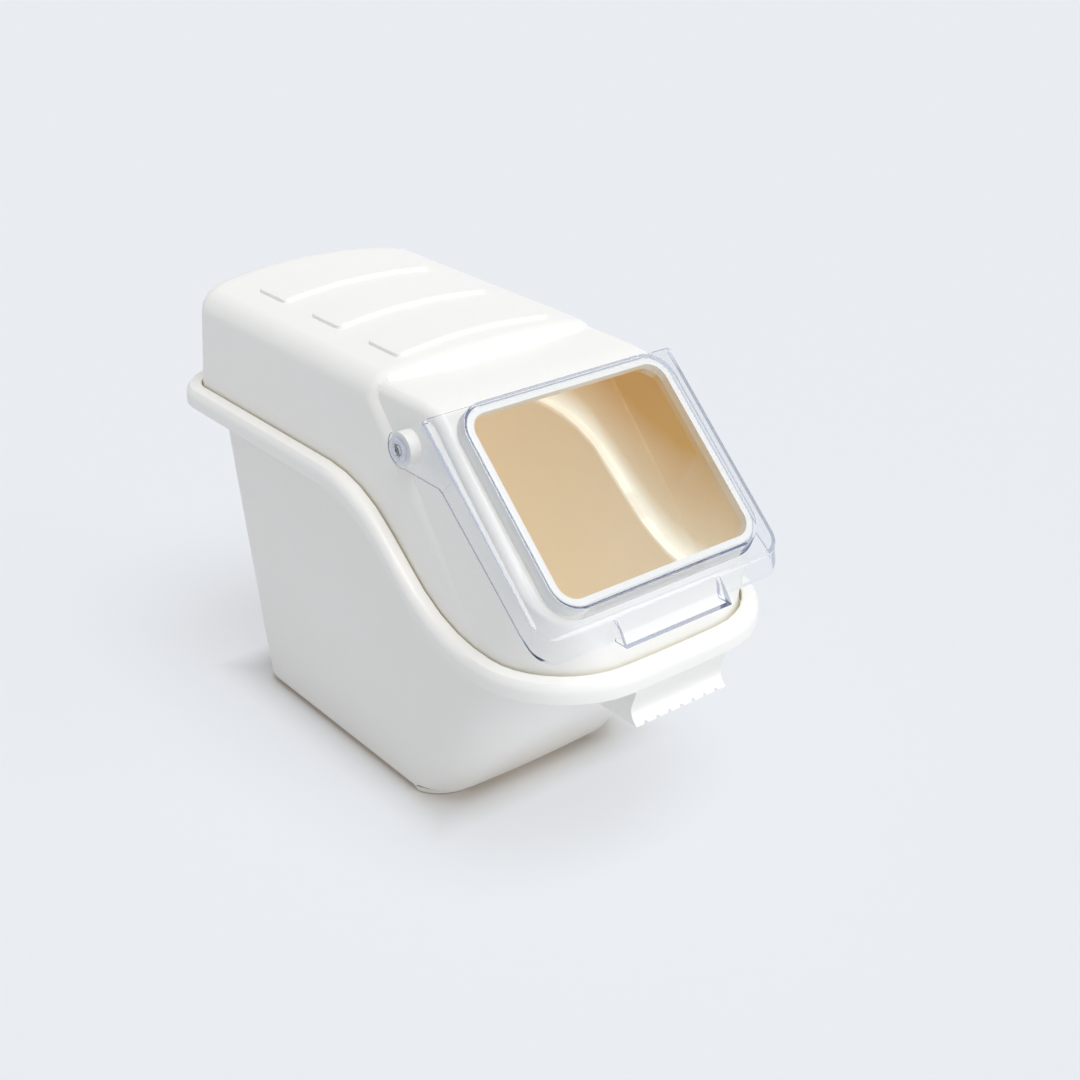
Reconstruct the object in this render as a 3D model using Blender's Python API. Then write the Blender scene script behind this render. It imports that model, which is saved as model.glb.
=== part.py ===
"""Shelf bin for dry food: a white tub, a lift-off hood and a clear flip-up door on two push pins.

Lengths are in millimetres and angles in degrees; meshes are written in metres.
X runs across the bin, -Y is the front, +Z is up, and the tub stands on z = 0.
"""
import math

import bmesh
import bpy
from mathutils import Matrix, Vector

MM = 0.001

# Overall plan of the hood where it sits in the rim
BODY_HALF_WIDTH = 106.2
BODY_LENGTH = 476.0
BODY_CORNER = 34.0
FRONT_CORNER = 62.0
FRONT_BOW = 4.5
REAR_BOW = 8.5

# Rim of the tub: level at the back, an S of two arcs, level at the front
RIM_REAR_HEIGHT = 259.0
RIM_FRONT_HEIGHT = 178.5
SWEEP_RADIUS = 120.0
SWEEP_ANGLE = 39.0
SWEEP_FROM_FRONT = 162.5
BEAD_WIDTH = 13.6
BEAD_HEIGHT = 16.0
LIP_THICKNESS = 3.0
LIP_FILLET = 2.0
LIP_EDGE = 1.0
LEDGE_DROP = 8.0
LEDGE_THICKNESS = 3.5

# Tub walls and floor
TUB_WALL = 3.0
TUB_SIDE_INSET = 7.2
TUB_FRONT_INSET = 5.3
TUB_FRONT_CORNER = 74.0
TUB_FRONT_SAG = 9.0
TUB_REAR_INSET = 27.5
TUB_KNEE = 14.0
FLOOR_SIDE_INSET = 11.8
FLOOR_FROM_FRONT = 153.5
FLOOR_FROM_REAR = 58.5
FLOOR_CORNER = 32.0
FLOOR_EDGE = 9.0
FLOOR_THICKNESS = 4.0
FOOT_HEIGHT = 5.2
FOOT_WIDTH = 32.0
FOOT_INSET = 1.2
FOOT_EDGE = 1.0
FRONT_GAP_DEPTH = 16.0
FRONT_FOOT_DEPTH = 24.0
REAR_FOOT_DEPTH = 17.4

# Finger pull under the front rim
PULL_HALF_WIDTH = 42.0
PULL_DROP = 43.0
PULL_WALL = 2.6
PULL_WAIST = 5.5
PULL_WAIST_SKEW = 1.6
PULL_STEPS = 8
NOTCH_COUNT = 7
NOTCH_PITCH = 11.0
NOTCH_RADIUS = 1.6

# Hood
HOOD_RISE = 75.5
ROOF_CROWN = 9.0
HOOD_WALL = 2.6
HOOD_EDGE = 15.3
HOOD_SIDE_LEAN = 3.4
HOOD_REAR_LEAN = 6.8
SHOULDER_STEP = 5.5
SHOULDER_DEPTH = 36.0
SHOULDER_BOW = 3.0
SHOULDER_CORNER = 22.0
FRONT_TOP_DROP = 1.7
FRONT_EDGE = 8.0
FRONT_WALL_HEIGHT = 39.0
FRONT_WALL_LEAN = 9.4
FRONT_INTO_BLOCK = 12.0
FRONT_TAIL_ROUND = 2.0
FRONT_INNER_ROUND = 0.7
SLOPE_ANGLE = 42.9
CREASE_BLEND = 9.0
PAD_COUNT = 3
PAD_FROM_SIDE = 36.7
PAD_LENGTH = 40.5
PAD_PITCH = 77.0
PAD_HEIGHT = 2.6
PAD_CORNER = 5.0
PAD_EDGE = 1.2
PAD_DRAFT = 0.4
CROWN_DRAW = 0.2
PAD_FROM_REAR = 58.8

# Window in the slope face, and the curb round it
WINDOW_FROM_SIDE = 21.2
WINDOW_FROM_BROW = 12.3
WINDOW_FROM_ROOF = 15.5
WINDOW_CORNER = 13.6
CURB_WIDTH = 5.2
CURB_HEIGHT = 11.9
CURB_LIP = 6.8
CURB_EDGE = 1.6

# Clear door
SHEET = 2.5
DOOR_MARGIN_GAP = 1.3
DOOR_TOP_GAP = 0.5
DOOR_SIDE_GAP = 2.4
DOOR_RISE_DRAFT = 3.1
DOOR_TOP_LIP = 2.6
DOOR_BEND = 4.0
DOOR_CORNER = 16.0
DOOR_TOP_CORNER = 3.0
DOOR_BOTTOM_REACH = 19.2
PANEL_EDGE = 1.4
PANEL_INNER_ROUND = 0.6
PANEL_INNER_INSET = 1.0
BEND_INNER_ROUND = 0.6
BEND_INNER_INSET = 0.4
TOP_FALL = (0.1, 0.4, 0.8)
TOP_INSET = 0.1
BOTTOM_SKIRT = 17.0
SIDE_SKIRT_LOW = 17.4
SIDE_SKIRT_HIGH = 21.6
EAR_RADIUS = 13.3
EAR_THICKNESS = 3.1
EAR_STEP = 0.2
EAR_ROOT = 46.0
EAR_TOP_INSET = 0.6
EAR_TOP_DROP = 0.4
EAR_FACETS = 14
EAR_ROUND_FROM = 8.0
EAR_ROUND_TO = -152.0
EAR_SINK = 1.0
EAR_NOSE = 4.0
EAR_NOSE_DROP = 1.2
TAB_HALF_WIDTH = 48.5
TAB_BULGE = 11.0
TAB_DROP = 1.4
TAB_MIDDLE = 0.42
TAB_SWELL = 0.8
TAB_ROOT = 0.6
TAB_SINK = 1.2
TAB_ROOM = 6.0

# Hinge: pivot below the slope face, near the roof end of the window
PIVOT_DEPTH = 39.1
PIVOT_PAST_WINDOW = 10.6
BOSS_RADIUS = 12.3
PIN_RADIUS = 4.0
PIN_HEAD_RADIUS = 9.3
PIN_HEAD = 2.2
PIN_LENGTH = 8.5
PIN_DIMPLE = 2.2
PIN_GROOVE = 5.0
PIN_GROOVE_WIDTH = 1.2
PIN_RELIEF = 0.7
PIN_BEVEL = 0.4
PIN_EDGE = 0.6
PIN_FACETS = 24

# Clearances
SEAT_GAP = 0.3
RIM_GAP = 0.4
PIN_GAP = 0.3

# How far cutters run past a face, how much lower each next skirt ends, and how far joined solids sink
CUT_PAST = 4.0
SKIRT_STEP = 2.0
JOIN = 1.5
TINY = 0.01

BODY_FRONT = -BODY_LENGTH / 2
BODY_REAR = BODY_LENGTH / 2
HOOD_HEIGHT = RIM_REAR_HEIGHT + HOOD_RISE
FLOOR_HALF_WIDTH = BODY_HALF_WIDTH - FLOOR_SIDE_INSET
PAD_HALF_WIDTH = BODY_HALF_WIDTH - PAD_FROM_SIDE
WINDOW_HALF_WIDTH = BODY_HALF_WIDTH - WINDOW_FROM_SIDE
FLOOR_FRONT = BODY_FRONT + FLOOR_FROM_FRONT
FLOOR_REAR = BODY_REAR - FLOOR_FROM_REAR
BROW_Y = BODY_FRONT + FRONT_WALL_LEAN
BROW_Z = RIM_FRONT_HEIGHT + FRONT_WALL_HEIGHT
SLOPE = math.radians(SLOPE_ANGLE)
FRONT_TOP = HOOD_HEIGHT - FRONT_TOP_DROP
SLOPE_LENGTH = (FRONT_TOP - BROW_Z) / math.sin(SLOPE)
WINDOW_LOW = WINDOW_FROM_BROW
WINDOW_HIGH = SLOPE_LENGTH - WINDOW_FROM_ROOF
CURB_HALF_WIDTH = WINDOW_HALF_WIDTH + CURB_WIDTH
CURB_LOW = WINDOW_LOW - CURB_WIDTH
CURB_HIGH = WINDOW_HIGH + CURB_WIDTH
PIVOT_ALONG = WINDOW_HIGH + PIVOT_PAST_WINDOW
HOOD_FOOT = RIM_FRONT_HEIGHT - LEDGE_DROP
FRONT_TOP_HALF = BODY_HALF_WIDTH - HOOD_SIDE_LEAN - SHOULDER_STEP
FRONT_TAPER = (BODY_HALF_WIDTH - FRONT_TOP_HALF) / (HOOD_HEIGHT - HOOD_FOOT)
DOOR_HALF_WIDTH = BODY_HALF_WIDTH + DOOR_SIDE_GAP + SHEET
EAR_INSIDE = DOOR_HALF_WIDTH - SHEET - EAR_STEP
EAR_OUTSIDE = EAR_INSIDE + EAR_THICKNESS

# Facets in a rounded corner, in half of a bowed edge and along the sides, and the angle of a sharp edge
CORNER_STEPS = 9
BOW_STEPS = 4
HOOD_SIDE_STEPS = 16
FRONT_SIDE_STEPS = 6
FRONT_TAIL_STEPS = 4
DOOR_SIDE_STEPS = 12
PAD_SIDE_STEPS = 2
SHARP_ANGLE = 32.0

# Rings up the walls, the second in front at the rim's top, and where a small round's middle ring lies
BLOCK_SHARES = (0.0, 0.33, 0.67, 1.0)
FRONT_SHARES = (0.0, 0.2, 0.55, 1.0)
WALL_SHARES = (0.0, 0.2, 0.4, 0.6, 0.8)
KNEE_SHARES = (0.4, 0.75, 1.0)
CROWN_SHARES = (0.8, 0.6, 0.4, 0.2)
QUARTERS = (22.5, 45.0, 67.5, 90.0)
THIRDS = (30.0, 60.0, 90.0)
ROUND_MIDDLE = 0.3

# The exact solver leaves open edges on the crowned roof
ROOF_SOLVER = "MANIFOLD"

WHITE = (0.80, 0.79, 0.75)
WHITE_ROUGHNESS = 0.42
CLEAR = (0.86, 0.88, 0.90)
CLEAR_ROUGHNESS = 0.06
CLEAR_ALPHA = 0.25


def lerp(a, b, t):
    return a + (b - a) * t


def smooth(t):
    t = min(1.0, max(0.0, t))
    return t * t * (3.0 - 2.0 * t)


def rim_height(y):
    """Height of the rim's top edge at y."""
    drop = RIM_REAR_HEIGHT - RIM_FRONT_HEIGHT
    angle = min(math.radians(SWEEP_ANGLE), math.acos(1.0 - drop / (2.0 * SWEEP_RADIUS)))
    arc_rise = SWEEP_RADIUS * (1.0 - math.cos(angle))
    arc_run = SWEEP_RADIUS * math.sin(angle)
    straight_run = (drop - 2.0 * arc_rise) / math.tan(angle)
    middle = BODY_FRONT + SWEEP_FROM_FRONT
    from_middle = y - middle
    side = 1.0 if from_middle >= 0.0 else -1.0
    run = abs(from_middle)
    if run <= straight_run / 2:
        rise = run * math.tan(angle)
    else:
        left = max(0.0, arc_run + straight_run / 2 - run)
        rise = drop / 2 - SWEEP_RADIUS + math.sqrt(SWEEP_RADIUS**2 - left**2)
    return (RIM_REAR_HEIGHT + RIM_FRONT_HEIGHT) / 2 + side * rise


def slope_point(x, along, above):
    """Point given across, up the slope from the brow, and square to the slope face."""
    y = BROW_Y + along * math.cos(SLOPE) - above * math.sin(SLOPE)
    z = BROW_Z + along * math.sin(SLOPE) + above * math.cos(SLOPE)
    return (x, y, z)


def slope_y(above, z):
    """The y where a plane parallel to the slope face reaches height z."""
    return BROW_Y + ((z - BROW_Z) * math.cos(SLOPE) - above) / math.sin(SLOPE)


def half_outline(half, front, rear, front_corner, rear_corner, side_steps, bow=0.0, rear_bow=0.0):
    """Right half of a rounded rectangle, from front to rear; a bow makes that edge convex."""
    points = []
    flat = half - front_corner
    for k in range(1, BOW_STEPS if bow else 0):
        points.append((flat * k / BOW_STEPS, front))
    for k in range(CORNER_STEPS + 1):
        turn = math.pi / 2 * k / CORNER_STEPS
        points.append((flat + front_corner * math.sin(turn), front + front_corner * (1 - math.cos(turn))))
    side_front = front + front_corner
    side_rear = rear - rear_corner
    for step in side_steps:
        points.append((half, lerp(side_front, side_rear, step)))
    flat = half - rear_corner
    for k in range(CORNER_STEPS + 1):
        turn = math.pi / 2 * k / CORNER_STEPS
        points.append((flat + rear_corner * math.cos(turn), side_rear + rear_corner * math.sin(turn)))
    for k in range(1, BOW_STEPS if rear_bow else 0):
        points.append((flat * (1 - k / BOW_STEPS), rear))
    bowed = []
    for x, y in points:
        at_front = min(1.0, max(0.0, 1.0 - (y - front) / front_corner))
        at_rear = min(1.0, max(0.0, 1.0 - (rear - y) / rear_corner))
        bowed.append((x, y + (bow * at_front - rear_bow * at_rear) * (x / half) ** 2))
    return bowed


def even_steps(count):
    return [k / count for k in range(1, count)]


def new_object(name, mesh):
    """Turn a finished bmesh into an object of triangles with outward faces."""
    bmesh.ops.triangulate(mesh, faces=mesh.faces)
    bmesh.ops.recalc_face_normals(mesh, faces=mesh.faces)
    data = bpy.data.meshes.new(name)
    mesh.to_mesh(data)
    mesh.free()
    obj = bpy.data.objects.new(name, data)
    bpy.context.scene.collection.objects.link(obj)
    return obj


def ladder(mesh, loop):
    """Close a loop with rungs between its mirrored points."""
    for i in range(len(loop) // 2 - 1):
        mesh.faces.new((loop[i], loop[i + 1], loop[-i - 2], loop[-i - 1]))


def ring_solid(name, rings):
    """Skin half rings, mirrored across X, into one closed solid with a cap on the first and last."""
    mesh = bmesh.new()
    loops = []
    for ring in rings:
        mirrored = [(-x, y, z) for x, y, z in reversed(ring)]
        loops.append([mesh.verts.new(Vector(p) * MM) for p in list(ring) + mirrored])
    count = len(loops[0])
    for low, high in zip(loops, loops[1:]):
        for i in range(count):
            j = (i + 1) % count
            mesh.faces.new((low[i], low[j], high[j], high[i]))
    ladder(mesh, loops[0])
    ladder(mesh, loops[-1])
    return new_object(name, mesh)


def across(name, half, profile, middle=0.0):
    """Extrude a closed (y, z) profile along X to both sides of the middle."""
    mesh = bmesh.new()
    near = [mesh.verts.new(Vector((middle - half, y, z)) * MM) for y, z in profile]
    face = mesh.faces.new(near)
    grown = bmesh.ops.extrude_face_region(mesh, geom=[face])["geom"]
    far = [item for item in grown if isinstance(item, bmesh.types.BMVert)]
    bmesh.ops.translate(mesh, verts=far, vec=Vector((2 * half, 0.0, 0.0)) * MM)
    return new_object(name, mesh)


def rod(name, radius, x_from, x_to, y, z, axis="X", segments=32):
    """Plain cylinder along X or Y between two places on that axis."""
    mesh = bmesh.new()
    length = abs(x_to - x_from)
    middle = (x_from + x_to) / 2
    if axis == "X":
        place = Matrix.Translation(Vector((middle, y, z)) * MM) @ Matrix.Rotation(math.pi / 2, 4, "Y")
    else:
        place = Matrix.Translation(Vector((y, middle, z)) * MM) @ Matrix.Rotation(math.pi / 2, 4, "X")
    bmesh.ops.create_cone(
        mesh, cap_ends=True, segments=segments, radius1=radius * MM, radius2=radius * MM,
        depth=length * MM, matrix=place)
    return new_object(name, mesh)


def boolean(base, operation, *tools, solver="EXACT"):
    """Apply a Boolean with each tool in turn; the tools are used up."""
    for tool in tools:
        modifier = base.modifiers.new("boolean", "BOOLEAN")
        modifier.operation = operation
        modifier.solver = solver
        modifier.object = tool
        graph = bpy.context.evaluated_depsgraph_get()
        result = bpy.data.meshes.new_from_object(base.evaluated_get(graph))
        base.modifiers.remove(modifier)
        spent = base.data
        base.data = result
        bpy.data.meshes.remove(spent)
        bpy.data.objects.remove(tool)
    return base


def finish(obj, material, origin=(0.0, 0.0, 0.0)):
    """Give the piece its material, its origin and smooth shading with sharp edges kept."""
    place = Vector(origin) * MM
    obj.data.transform(Matrix.Translation(-place))
    obj.location = place
    obj.data.materials.clear()
    obj.data.materials.append(material)
    obj.data.shade_smooth()
    obj.data.set_sharp_from_angle(angle=math.radians(SHARP_ANGLE))
    return obj


def plastic(name, colour, roughness, alpha=1.0):
    material = bpy.data.materials.new(name)
    material.use_nodes = True
    shader = material.node_tree.nodes["Principled BSDF"]
    shader.inputs["Base Color"].default_value = (*colour, 1.0)
    shader.inputs["Roughness"].default_value = roughness
    shader.inputs["Metallic"].default_value = 0.0
    shader.inputs["Alpha"].default_value = alpha
    return material


# Tub

TUB_SIDE_STEPS = 20
TUB_STEPS = even_steps(TUB_SIDE_STEPS)
WALL_BLEND = 0.2


def rim_ring(out, down):
    """Ring round the rim: out from the hood's outline, and down from the rim's top."""
    plan = half_outline(
        BODY_HALF_WIDTH + out, BODY_FRONT - out, BODY_REAR + out, FRONT_CORNER + out, BODY_CORNER + out,
        TUB_STEPS, FRONT_BOW, REAR_BOW)
    return [(x, y, rim_height(y) - down) for x, y in plan]


def wall_steps(side_front, side_rear):
    """Stations along the wall's top, level with the rim's own except next to the corners."""
    rim_front = BODY_FRONT + FRONT_CORNER
    rim_rear = BODY_REAR - BODY_CORNER
    steps = []
    for step in TUB_STEPS:
        front_shift = (side_front - rim_front) * max(0.0, 1.0 - step / WALL_BLEND)
        rear_shift = (side_rear - rim_rear) * max(0.0, 1.0 - (1.0 - step) / WALL_BLEND)
        y = lerp(rim_front, rim_rear, step) + front_shift + rear_shift
        steps.append((y - side_front) / (side_rear - side_front))
    return steps


def front_sag(share):
    """How far the front wall hangs in behind a straight line, part of the way up it."""
    return TUB_FRONT_SAG * 4.0 * share * (1.0 - share)


def tub_wall_rings(inset, foot, down):
    """Rings up one face of the wall, from the foot height to a given depth below the rim's top."""
    front = BODY_FRONT + TUB_FRONT_INSET + inset
    rear = BODY_REAR - TUB_REAR_INSET - inset
    front_corner = TUB_FRONT_CORNER - inset
    rear_corner = BODY_CORNER - TUB_SIDE_INSET - inset
    top = half_outline(
        BODY_HALF_WIDTH - TUB_SIDE_INSET - inset, front, rear, front_corner, rear_corner,
        wall_steps(front + front_corner, rear - rear_corner), FRONT_BOW, REAR_BOW)
    low = half_outline(
        FLOOR_HALF_WIDTH - inset, FLOOR_FRONT + inset, FLOOR_REAR - inset, FLOOR_CORNER - inset,
        FLOOR_CORNER - inset, TUB_STEPS, FRONT_BOW, REAR_BOW)
    heads = [Vector((x, y, rim_height(y) - down)) for x, y in top]
    knees = [head - Vector((0.0, 0.0, TUB_KNEE)) for head in heads]
    feet = [Vector((x, y, 0.0)) for x, y in low]
    near_front = [max(0.0, 1.0 - (y - front) / front_corner) for x, y in top]
    rings = []
    for share in WALL_SHARES:
        ring = []
        for start, knee, near in zip(feet, knees, near_front):
            lifted = start.lerp(knee, foot / knee.z).lerp(knee, share)
            ring.append((lifted.x, lifted.y + near * front_sag(share), lifted.z))
        rings.append(ring)
    below_knee = rings[-1]
    for turn in KNEE_SHARES:
        ring = []
        for below, knee, head in zip(below_knee, knees, heads):
            first = Vector(below).lerp(knee, turn)
            second = knee.lerp(head, turn)
            ring.append(tuple(first.lerp(second, turn)))
        rings.append(ring)
    return rings


def floor_ring(inset, z):
    plan = half_outline(
        FLOOR_HALF_WIDTH - inset, FLOOR_FRONT + inset, FLOOR_REAR - inset, FLOOR_CORNER - inset,
        FLOOR_CORNER - inset, TUB_STEPS, FRONT_BOW, REAR_BOW)
    return [(x, y, z) for x, y in plan]


def bead_rings():
    """Section of the rolled rim: hollow underside, lip, round top, then the hood's seat."""
    lip_inside = BEAD_WIDTH - LIP_THICKNESS
    riser = RIM_GAP + LIP_THICKNESS
    round_start = BEAD_HEIGHT / 2
    round_middle = BEAD_WIDTH / 2
    rings = [
        rim_ring(riser, LEDGE_DROP + LEDGE_THICKNESS),
        rim_ring(riser, LIP_THICKNESS + LIP_FILLET),
        rim_ring(riser + LIP_FILLET, LIP_THICKNESS),
        rim_ring(lip_inside - LIP_FILLET, LIP_THICKNESS),
        rim_ring(lip_inside, LIP_THICKNESS + LIP_FILLET),
        rim_ring(lip_inside, BEAD_HEIGHT),
        rim_ring(BEAD_WIDTH - LIP_EDGE, BEAD_HEIGHT),
        rim_ring(BEAD_WIDTH, BEAD_HEIGHT - LIP_EDGE),
        rim_ring(BEAD_WIDTH, round_start)]
    for turn in THIRDS:
        angle = math.radians(turn)
        out = round_middle + (BEAD_WIDTH - round_middle) * math.cos(angle)
        rings.append(rim_ring(out, round_start * (1.0 - math.sin(angle))))
    rings += [
        rim_ring(RIM_GAP + LIP_FILLET, 0.0),
        rim_ring(RIM_GAP + LIP_FILLET * ROUND_MIDDLE, LIP_FILLET * ROUND_MIDDLE),
        rim_ring(RIM_GAP, LIP_FILLET),
        rim_ring(RIM_GAP, LEDGE_DROP)]
    return rings


def tub_front_y(z):
    """Outside of the tub's leaning front wall at height z."""
    knee = RIM_FRONT_HEIGHT - LEDGE_DROP - LEDGE_THICKNESS - TUB_KNEE
    return lerp(FLOOR_FRONT, BODY_FRONT + TUB_FRONT_INSET, z / knee) + front_sag(z / knee)


def apron_points(shell):
    """Front face of the pull from under the rim down to its flared lip, set back by a wall."""
    top = RIM_FRONT_HEIGHT - BEAD_HEIGHT + JOIN - shell
    low = RIM_FRONT_HEIGHT - PULL_DROP
    points = []
    for k in range(PULL_STEPS + 1):
        t = k / PULL_STEPS
        waist = PULL_WAIST * math.sin(math.pi * t ** PULL_WAIST_SKEW)
        points.append((BODY_FRONT - BEAD_WIDTH + LIP_EDGE * (1.0 - t) + waist + shell, lerp(top, low, t)))
    return points


def make_pull():
    """Notched apron with cheeks back to the tub wall."""
    low = RIM_FRONT_HEIGHT - PULL_DROP
    apron = apron_points(0.0)
    top = apron[0][1]
    back = [(tub_front_y(low) + JOIN, low), (BODY_FRONT + TUB_FRONT_INSET + JOIN, top)]
    pull = across("pull", PULL_HALF_WIDTH, apron + back)
    lip = BODY_FRONT - BEAD_WIDTH
    for k in range(NOTCH_COUNT):
        x = (k - (NOTCH_COUNT - 1) / 2) * NOTCH_PITCH
        notch = rod("notch", NOTCH_RADIUS, lip - CUT_PAST, lip + PULL_WALL + CUT_PAST, x, low, "Y", 12)
        boolean(pull, "DIFFERENCE", notch)
    return pull


def pocket_profile():
    """The finger room behind the apron, open below."""
    apron = apron_points(PULL_WALL)
    foot = apron[-1][1] - CUT_PAST
    roof = apron[0][1] - PULL_WALL
    room = [point for point in apron if point[1] <= roof]
    wall = [(tub_front_y(foot) - SEAT_GAP, foot), (tub_front_y(roof) - SEAT_GAP, roof)]
    return room + [(room[-1][0], foot)] + wall


def make_tub():
    ledge_under = LEDGE_DROP + LEDGE_THICKNESS
    floor_top = FOOT_HEIGHT + FLOOR_THICKNESS
    floor_middle = (FLOOR_FRONT + FLOOR_REAR) / 2
    rings = [
        floor_ring(FOOT_INSET + FOOT_EDGE, 0.0), floor_ring(FOOT_INSET, FOOT_EDGE),
        floor_ring(FOOT_INSET, FLOOR_EDGE / 2)]
    rings += tub_wall_rings(0.0, FLOOR_EDGE, ledge_under)
    rings += bead_rings()
    inner = tub_wall_rings(TUB_WALL, floor_top + FLOOR_EDGE, LEDGE_DROP)
    rings += reversed(inner)
    for share in (ROUND_MIDDLE, 1.0):
        draw = 1.0 - share * FLOOR_EDGE / FLOOR_HALF_WIDTH
        height = floor_top if share == 1.0 else floor_top + FLOOR_EDGE * ROUND_MIDDLE
        rings.append([(x * draw, lerp(floor_middle, y, draw), height) for x, y, z in inner[0]])
    tub = ring_solid("tub", rings)
    boolean(tub, "UNION", make_pull())
    boolean(tub, "DIFFERENCE", across("pocket", PULL_HALF_WIDTH - PULL_WALL, pocket_profile()))
    slot_front = FLOOR_FRONT + FRONT_FOOT_DEPTH
    slot_rear = FLOOR_REAR - REAR_FOOT_DEPTH
    slot = [(slot_front, -CUT_PAST), (slot_front, 0.0), (slot_front + FOOT_HEIGHT, FOOT_HEIGHT),
            (slot_rear - FOOT_HEIGHT, FOOT_HEIGHT), (slot_rear, 0.0), (slot_rear, -CUT_PAST)]
    boolean(tub, "DIFFERENCE", across("foot_slot", BODY_HALF_WIDTH, slot))
    gap_end = FLOOR_FRONT + FRONT_GAP_DEPTH
    gap_start = FLOOR_FRONT - CUT_PAST
    gap = [(gap_start, -CUT_PAST), (gap_end, -CUT_PAST), (gap_end, FOOT_HEIGHT), (gap_start, FOOT_HEIGHT)]
    boolean(tub, "DIFFERENCE", across("front_gap", FLOOR_HALF_WIDTH - FOOT_WIDTH, gap))
    return tub


# Hood

def crown(x):
    """Rise of the roof over its side edges."""
    return ROOF_CROWN * (1.0 - (x / BODY_HALF_WIDTH) ** 2)


def crowned_rings(edge_ring, z):
    """Rings from the edge of a crowned face in towards its middle line."""
    middle = (edge_ring[0][1] + edge_ring[-1][1]) / 2
    rings = []
    for share in CROWN_SHARES:
        draw = lerp(1.0, share, CROWN_DRAW)
        rings.append([(x * share, lerp(middle, y, draw), z + crown(x * share)) for x, y, _ in edge_ring])
    return rings


def block_solid(name, shell, skirt):
    """Wide rear block of the hood, shrunk by a wall; its front is a plane under the slope face."""
    low_z = HOOD_FOOT
    top_z = HOOD_HEIGHT - shell
    edge = HOOD_EDGE - shell
    above = -SHOULDER_DEPTH - shell
    steps = even_steps(HOOD_SIDE_STEPS)
    low = half_outline(
        BODY_HALF_WIDTH - shell, slope_y(above, low_z), BODY_REAR - shell, FRONT_CORNER - shell,
        BODY_CORNER - shell, steps, SHOULDER_BOW, REAR_BOW)
    front = slope_y(above, top_z)

    def high(inset, drop):
        lean = HOOD_SIDE_LEAN + shell + inset
        rear = BODY_REAR - HOOD_REAR_LEAN - shell - inset
        corner = BODY_CORNER - HOOD_SIDE_LEAN - shell - inset
        plan = half_outline(
            BODY_HALF_WIDTH - lean, front + inset, rear, SHOULDER_CORNER - shell - inset, corner,
            steps, SHOULDER_BOW, REAR_BOW)
        return [(x, y, top_z - drop + crown(x)) for x, y in plan]

    feet = [(x, y, rim_height(y) - LEDGE_DROP) for x, y in low]
    rings = [[(x, y, z - skirt) for x, y, z in feet]]
    heads = high(0.0, edge)
    for share in BLOCK_SHARES:
        rings.append([tuple(Vector(a).lerp(Vector(b), share)) for a, b in zip(feet, heads)])
    for turn in QUARTERS:
        angle = math.radians(turn)
        rings.append(high(edge * (1.0 - math.cos(angle)), edge * (1.0 - math.sin(angle))))
    return ring_solid(name, rings + crowned_rings(rings[-1], top_z))


def front_solid(name, shell, skirt):
    """Narrower front of the hood: short front wall, slope face, and a strip of roof."""
    top_z = FRONT_TOP - shell
    crease = slope_y(-shell, top_z)
    edge = FRONT_EDGE - shell * FRONT_INNER_ROUND
    rear = slope_y(-SHOULDER_DEPTH, HOOD_HEIGHT) + HOOD_EDGE + FRONT_INTO_BLOCK
    corner = BODY_CORNER - shell
    low_corner = FRONT_CORNER - shell
    rear_corner = FRONT_EDGE + FRONT_TAIL_ROUND
    side_front = BODY_FRONT + shell + low_corner
    side_rear = rear - rear_corner

    def fraction(y):
        return (y - side_front) / (side_rear - side_front)

    places = [lerp(side_front, crease - CREASE_BLEND, step) for step in even_steps(FRONT_SIDE_STEPS)]
    places += [crease + CREASE_BLEND * k for k in (-1.0, -0.5, 0.0, 0.5, 1.0)]
    places += [lerp(crease + CREASE_BLEND, side_rear, step) for step in even_steps(FRONT_TAIL_STEPS)]
    steps = [fraction(y) for y in places]

    def roof(y):
        past = y - crease
        if past >= CREASE_BLEND:
            return top_z
        if past <= -CREASE_BLEND:
            return top_z + past * math.tan(SLOPE)
        return top_z - math.tan(SLOPE) * (CREASE_BLEND - past) ** 2 / (4 * CREASE_BLEND)

    def plan(front, front_corner, inset):
        return half_outline(
            BODY_HALF_WIDTH - shell - inset, front + inset, rear - inset, front_corner - inset,
            rear_corner - inset, steps, FRONT_BOW)

    def tapered(x, y, z):
        width = BODY_HALF_WIDTH - shell
        return (x * (width - FRONT_TAPER * (z - HOOD_FOOT)) / width, y, z)

    low_plan = plan(BODY_FRONT + shell, low_corner, 0.0)
    high_plan = plan(BROW_Y + shell, corner, 0.0)
    feet = [(x, y, rim_height(y) - LEDGE_DROP) for x, y in low_plan]
    heads = [(x, y, roof(y) - edge) for x, y in high_plan]
    rings = [[tapered(x, y, z - skirt) for x, y, z in feet]]
    inside_rim = FRONT_SHARES[1]
    for share in FRONT_SHARES:
        past_rim = max(0.0, share - inside_rim) / (1.0 - inside_rim)
        outline = plan(lerp(BODY_FRONT, BROW_Y, share) + shell, lerp(low_corner, corner, past_rim), 0.0)
        rings.append([
            tapered(x, y, lerp(a[2], b[2], share)) for (x, y), a, b in zip(outline, feet, heads)])
    for turn in QUARTERS:
        angle = math.radians(turn)
        inset = edge * (1.0 - math.cos(angle))
        drop = edge * (1.0 - math.sin(angle))
        rings.append([tapered(x, y, roof(y) - drop) for x, y in plan(BROW_Y + shell, corner, inset)])
    return ring_solid(name, rings)


def slope_ring(half, low, high, corner, above, steps):
    plan = half_outline(half, low, high, corner, corner, steps)
    return [slope_point(x, along, above) for x, along in plan]


def slope_prism(name, half, low, high, corner, levels):
    """Rounded block square to the slope face; levels are (inset, height) pairs from below."""
    steps = even_steps(1)
    rings = [slope_ring(half - inset, low + inset, high - inset, corner - inset, above, steps)
             for inset, above in levels]
    return ring_solid(name, rings)


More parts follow.
